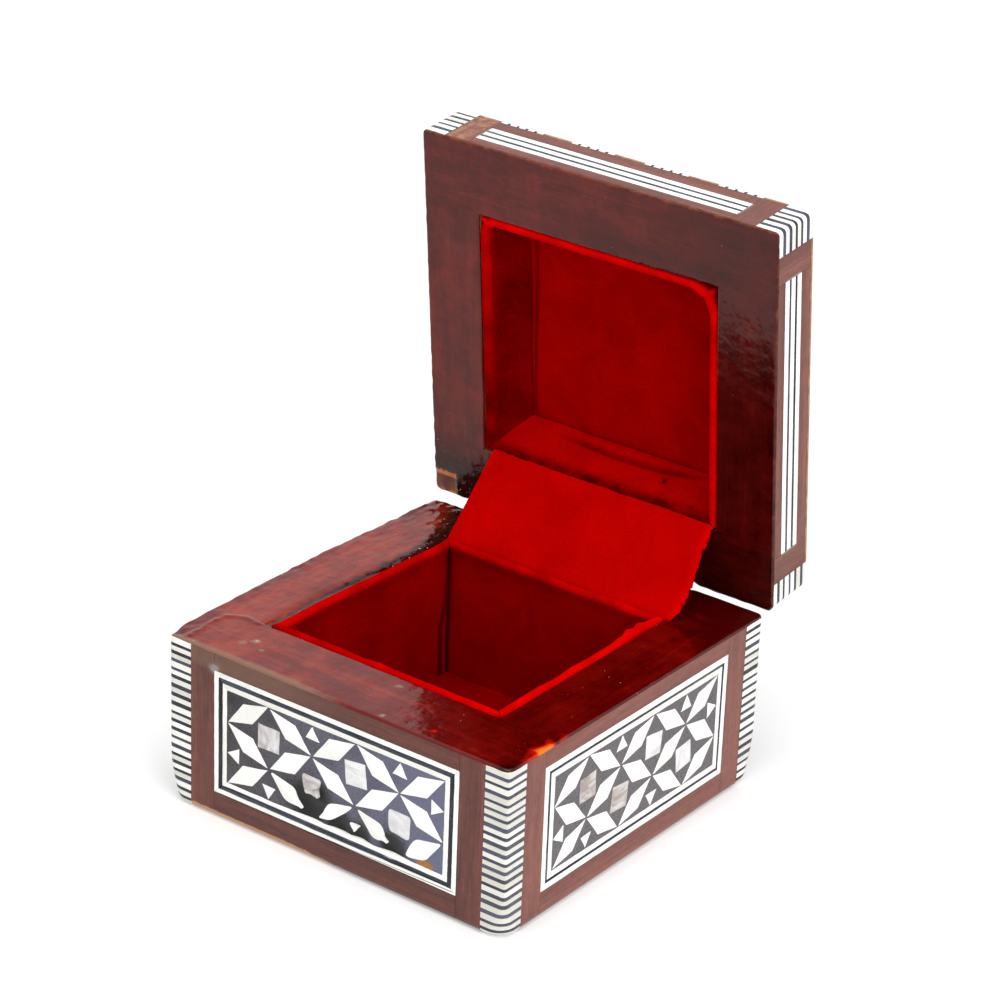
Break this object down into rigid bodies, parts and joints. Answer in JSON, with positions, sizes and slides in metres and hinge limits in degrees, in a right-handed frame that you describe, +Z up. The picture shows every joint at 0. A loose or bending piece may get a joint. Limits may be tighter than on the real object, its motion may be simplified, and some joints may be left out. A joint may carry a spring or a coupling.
{
  "type": "inlaid wooden trinket box",
  "caption": "Small square wooden box with bone and pearl marquetry, a hinged lid held open by a velvet stay, and a red velvet lining.",
  "frame": {"origin": "middle of the underside", "axes": "+X along the front to the right, +Y from front to back, +Z up"},
  "size_m": [0.0772, 0.0891, 0.1094],
  "materials": {
    "wood": "lacquered",
    "raw_wood": "raw",
    "veneer": "satin lacquer",
    "lacquer": "high gloss lacquer",
    "bone": "polished bone",
    "pearl": "polished shell",
    "filler": "black resin filler",
    "dark_wood": "stained black",
    "velvet": "velvet on card",
    "brass": "worn brass"
  },
  "bodies": {
    "base": {"base_bone_pieces": "bone", "base_bottom_board": "raw_wood", "base_corner_bone": "bone", "base_corner_dark": "dark_wood", "base_ground_back": "filler", "base_ground_front": "filler", "base_ground_left": "filler", "base_ground_right": "filler", "base_lining_back": "velvet", "base_lining_floor": "velvet", "base_lining_front": "velvet", "base_lining_left": "velvet", "base_lining_right": "velvet", "base_pearl_squares": "pearl", "base_rim_veneer": "lacquer", "base_stringing_bone": "bone", "base_stringing_dark": "dark_wood", "base_veneer_back": "veneer", "base_veneer_front": "veneer", "base_veneer_left": "veneer", "base_veneer_right": "veneer", "base_wall_back": "wood", "base_wall_front": "wood", "base_wall_left": "wood", "base_wall_right": "wood", "hinge_base_leaves": "brass", "hinge_base_nails": "brass", "hinge_pins": "brass", "velvet_stay": "velvet"},
    "lid": {"hinge_lid_leaves": "brass", "hinge_lid_nails": "brass", "lid_border_bone": "bone", "lid_border_dark": "dark_wood", "lid_corner_bone": "bone", "lid_corner_dark": "dark_wood", "lid_line_bone": "bone", "lid_line_dark": "dark_wood", "lid_lining_back": "velvet", "lid_lining_ceiling": "velvet", "lid_lining_front": "velvet", "lid_lining_left": "velvet", "lid_lining_right": "velvet", "lid_rail_back": "wood", "lid_rail_front": "wood", "lid_rail_left": "wood", "lid_rail_right": "wood", "lid_rim_veneer": "lacquer", "lid_top_board": "wood", "lid_top_bone_pieces": "bone", "lid_top_ground": "filler", "lid_top_pearl_squares": "pearl", "lid_top_stringing_bone": "bone", "lid_top_stringing_dark": "dark_wood", "lid_top_veneer": "veneer", "lid_veneer_back": "veneer", "lid_veneer_front": "veneer", "lid_veneer_left": "veneer", "lid_veneer_right": "veneer"}
  },
  "joints": [
    {"name": "lid_hinge", "type": "hinge", "parent": "base", "child": "lid", "pos_m": [0, 0.0384, 0.03315], "axis": [1, 0, 0], "range_deg": [0, 84.6], "deforming": ["velvet_stay"]}
  ]
}
